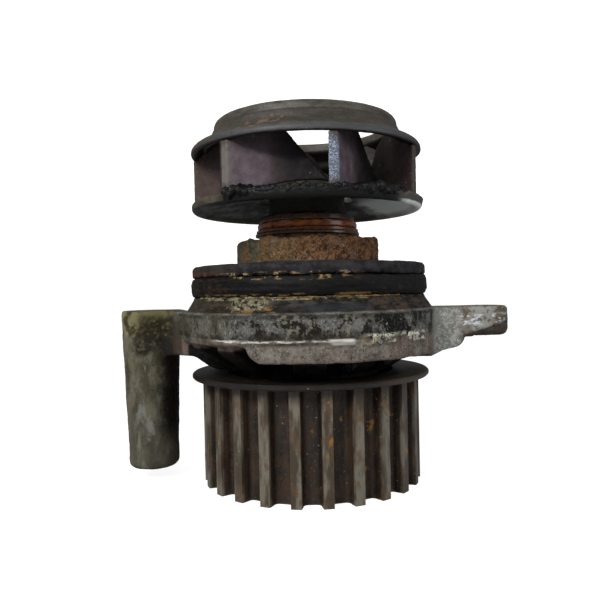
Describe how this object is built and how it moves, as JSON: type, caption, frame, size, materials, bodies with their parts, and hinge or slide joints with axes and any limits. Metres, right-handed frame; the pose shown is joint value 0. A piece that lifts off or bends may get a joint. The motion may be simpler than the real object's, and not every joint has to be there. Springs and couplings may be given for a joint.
{
  "type": "water pump",
  "caption": "Belt-driven engine coolant pump with a closed impeller, sealed spigot, long spacer post, mounting ears and a toothed belt pulley.",
  "frame": {"origin": "on the shaft axis, in the plane of the mounting face", "axes": "+Z along the shaft towards the impeller, +X towards the short ear on the right of the long post"},
  "size_m": [0.1079, 0.0904, 0.0979],
  "materials": {
    "housing": "oxidised sand-cast surface, stained",
    "o_ring": "old black rubber with sealant remnants",
    "bearing_steel": "ground",
    "seal_rubber": "matt",
    "shaft": "ground",
    "cage": "moulded polyamide",
    "seal_cup": "heat-tinted, glossy",
    "seat_ring": "matt, stained",
    "spring": "drawn wire",
    "carbon": "lapped carbon",
    "mating_ring": "lapped ceramic",
    "seal_sleeve": "heat-tinted, glossy",
    "rubber_collar": "glossy, brown",
    "insert": "dull",
    "impeller": "aged glass-filled moulding",
    "blades": "aged glass-filled moulding",
    "shroud": "aged glass-filled moulding",
    "pulley": "sintered steel, worn and rusty",
    "guide_disc": "pressed steel, dull brown"
  },
  "bodies": {
    "pump_body": {"housing": "housing", "flange_o_ring": "o_ring", "bearing_outer_ring": "bearing_steel", "bearing_seal_inner": "seal_rubber", "bearing_seal_outer": "seal_rubber", "seal_cup": "seal_cup", "seal_seat_ring": "seat_ring", "seal_bellows": "seal_rubber", "seal_spring": "spring", "seal_carbon_ring": "carbon"},
    "rotor": {"shaft": "shaft", "pulley": "pulley", "pulley_guide_disc": "guide_disc", "impeller_insert": "insert", "impeller_back_plate": "impeller", "impeller_blades": "blades", "impeller_shroud": "shroud", "seal_sleeve": "seal_sleeve", "seal_mating_ring": "mating_ring", "seal_rubber_collar": "rubber_collar"},
    "inner_ball_set": {"balls_inner": "bearing_steel", "ball_cage_inner": "cage"},
    "outer_ball_set": {"balls_outer": "bearing_steel", "ball_cage_outer": "cage"}
  },
  "joints": [
    {"name": "shaft_spin", "type": "hinge", "parent": "pump_body", "child": "rotor", "pos_m": [0, 0, 0], "axis": [0, 0, 1], "continuous": true},
    {"name": "inner_cage_orbit", "type": "hinge", "parent": "pump_body", "child": "inner_ball_set", "pos_m": [0, 0, -0.013], "axis": [0, 0, 1], "continuous": true},
    {"name": "outer_cage_orbit", "type": "hinge", "parent": "pump_body", "child": "outer_ball_set", "pos_m": [0, 0, -0.03], "axis": [0, 0, 1], "continuous": true}
  ],
  "couplings": [
    {"joint": "inner_cage_orbit", "follows": "shaft_spin", "ratio": 0.3687},
    {"joint": "outer_cage_orbit", "follows": "shaft_spin", "ratio": 0.3687}
  ]
}
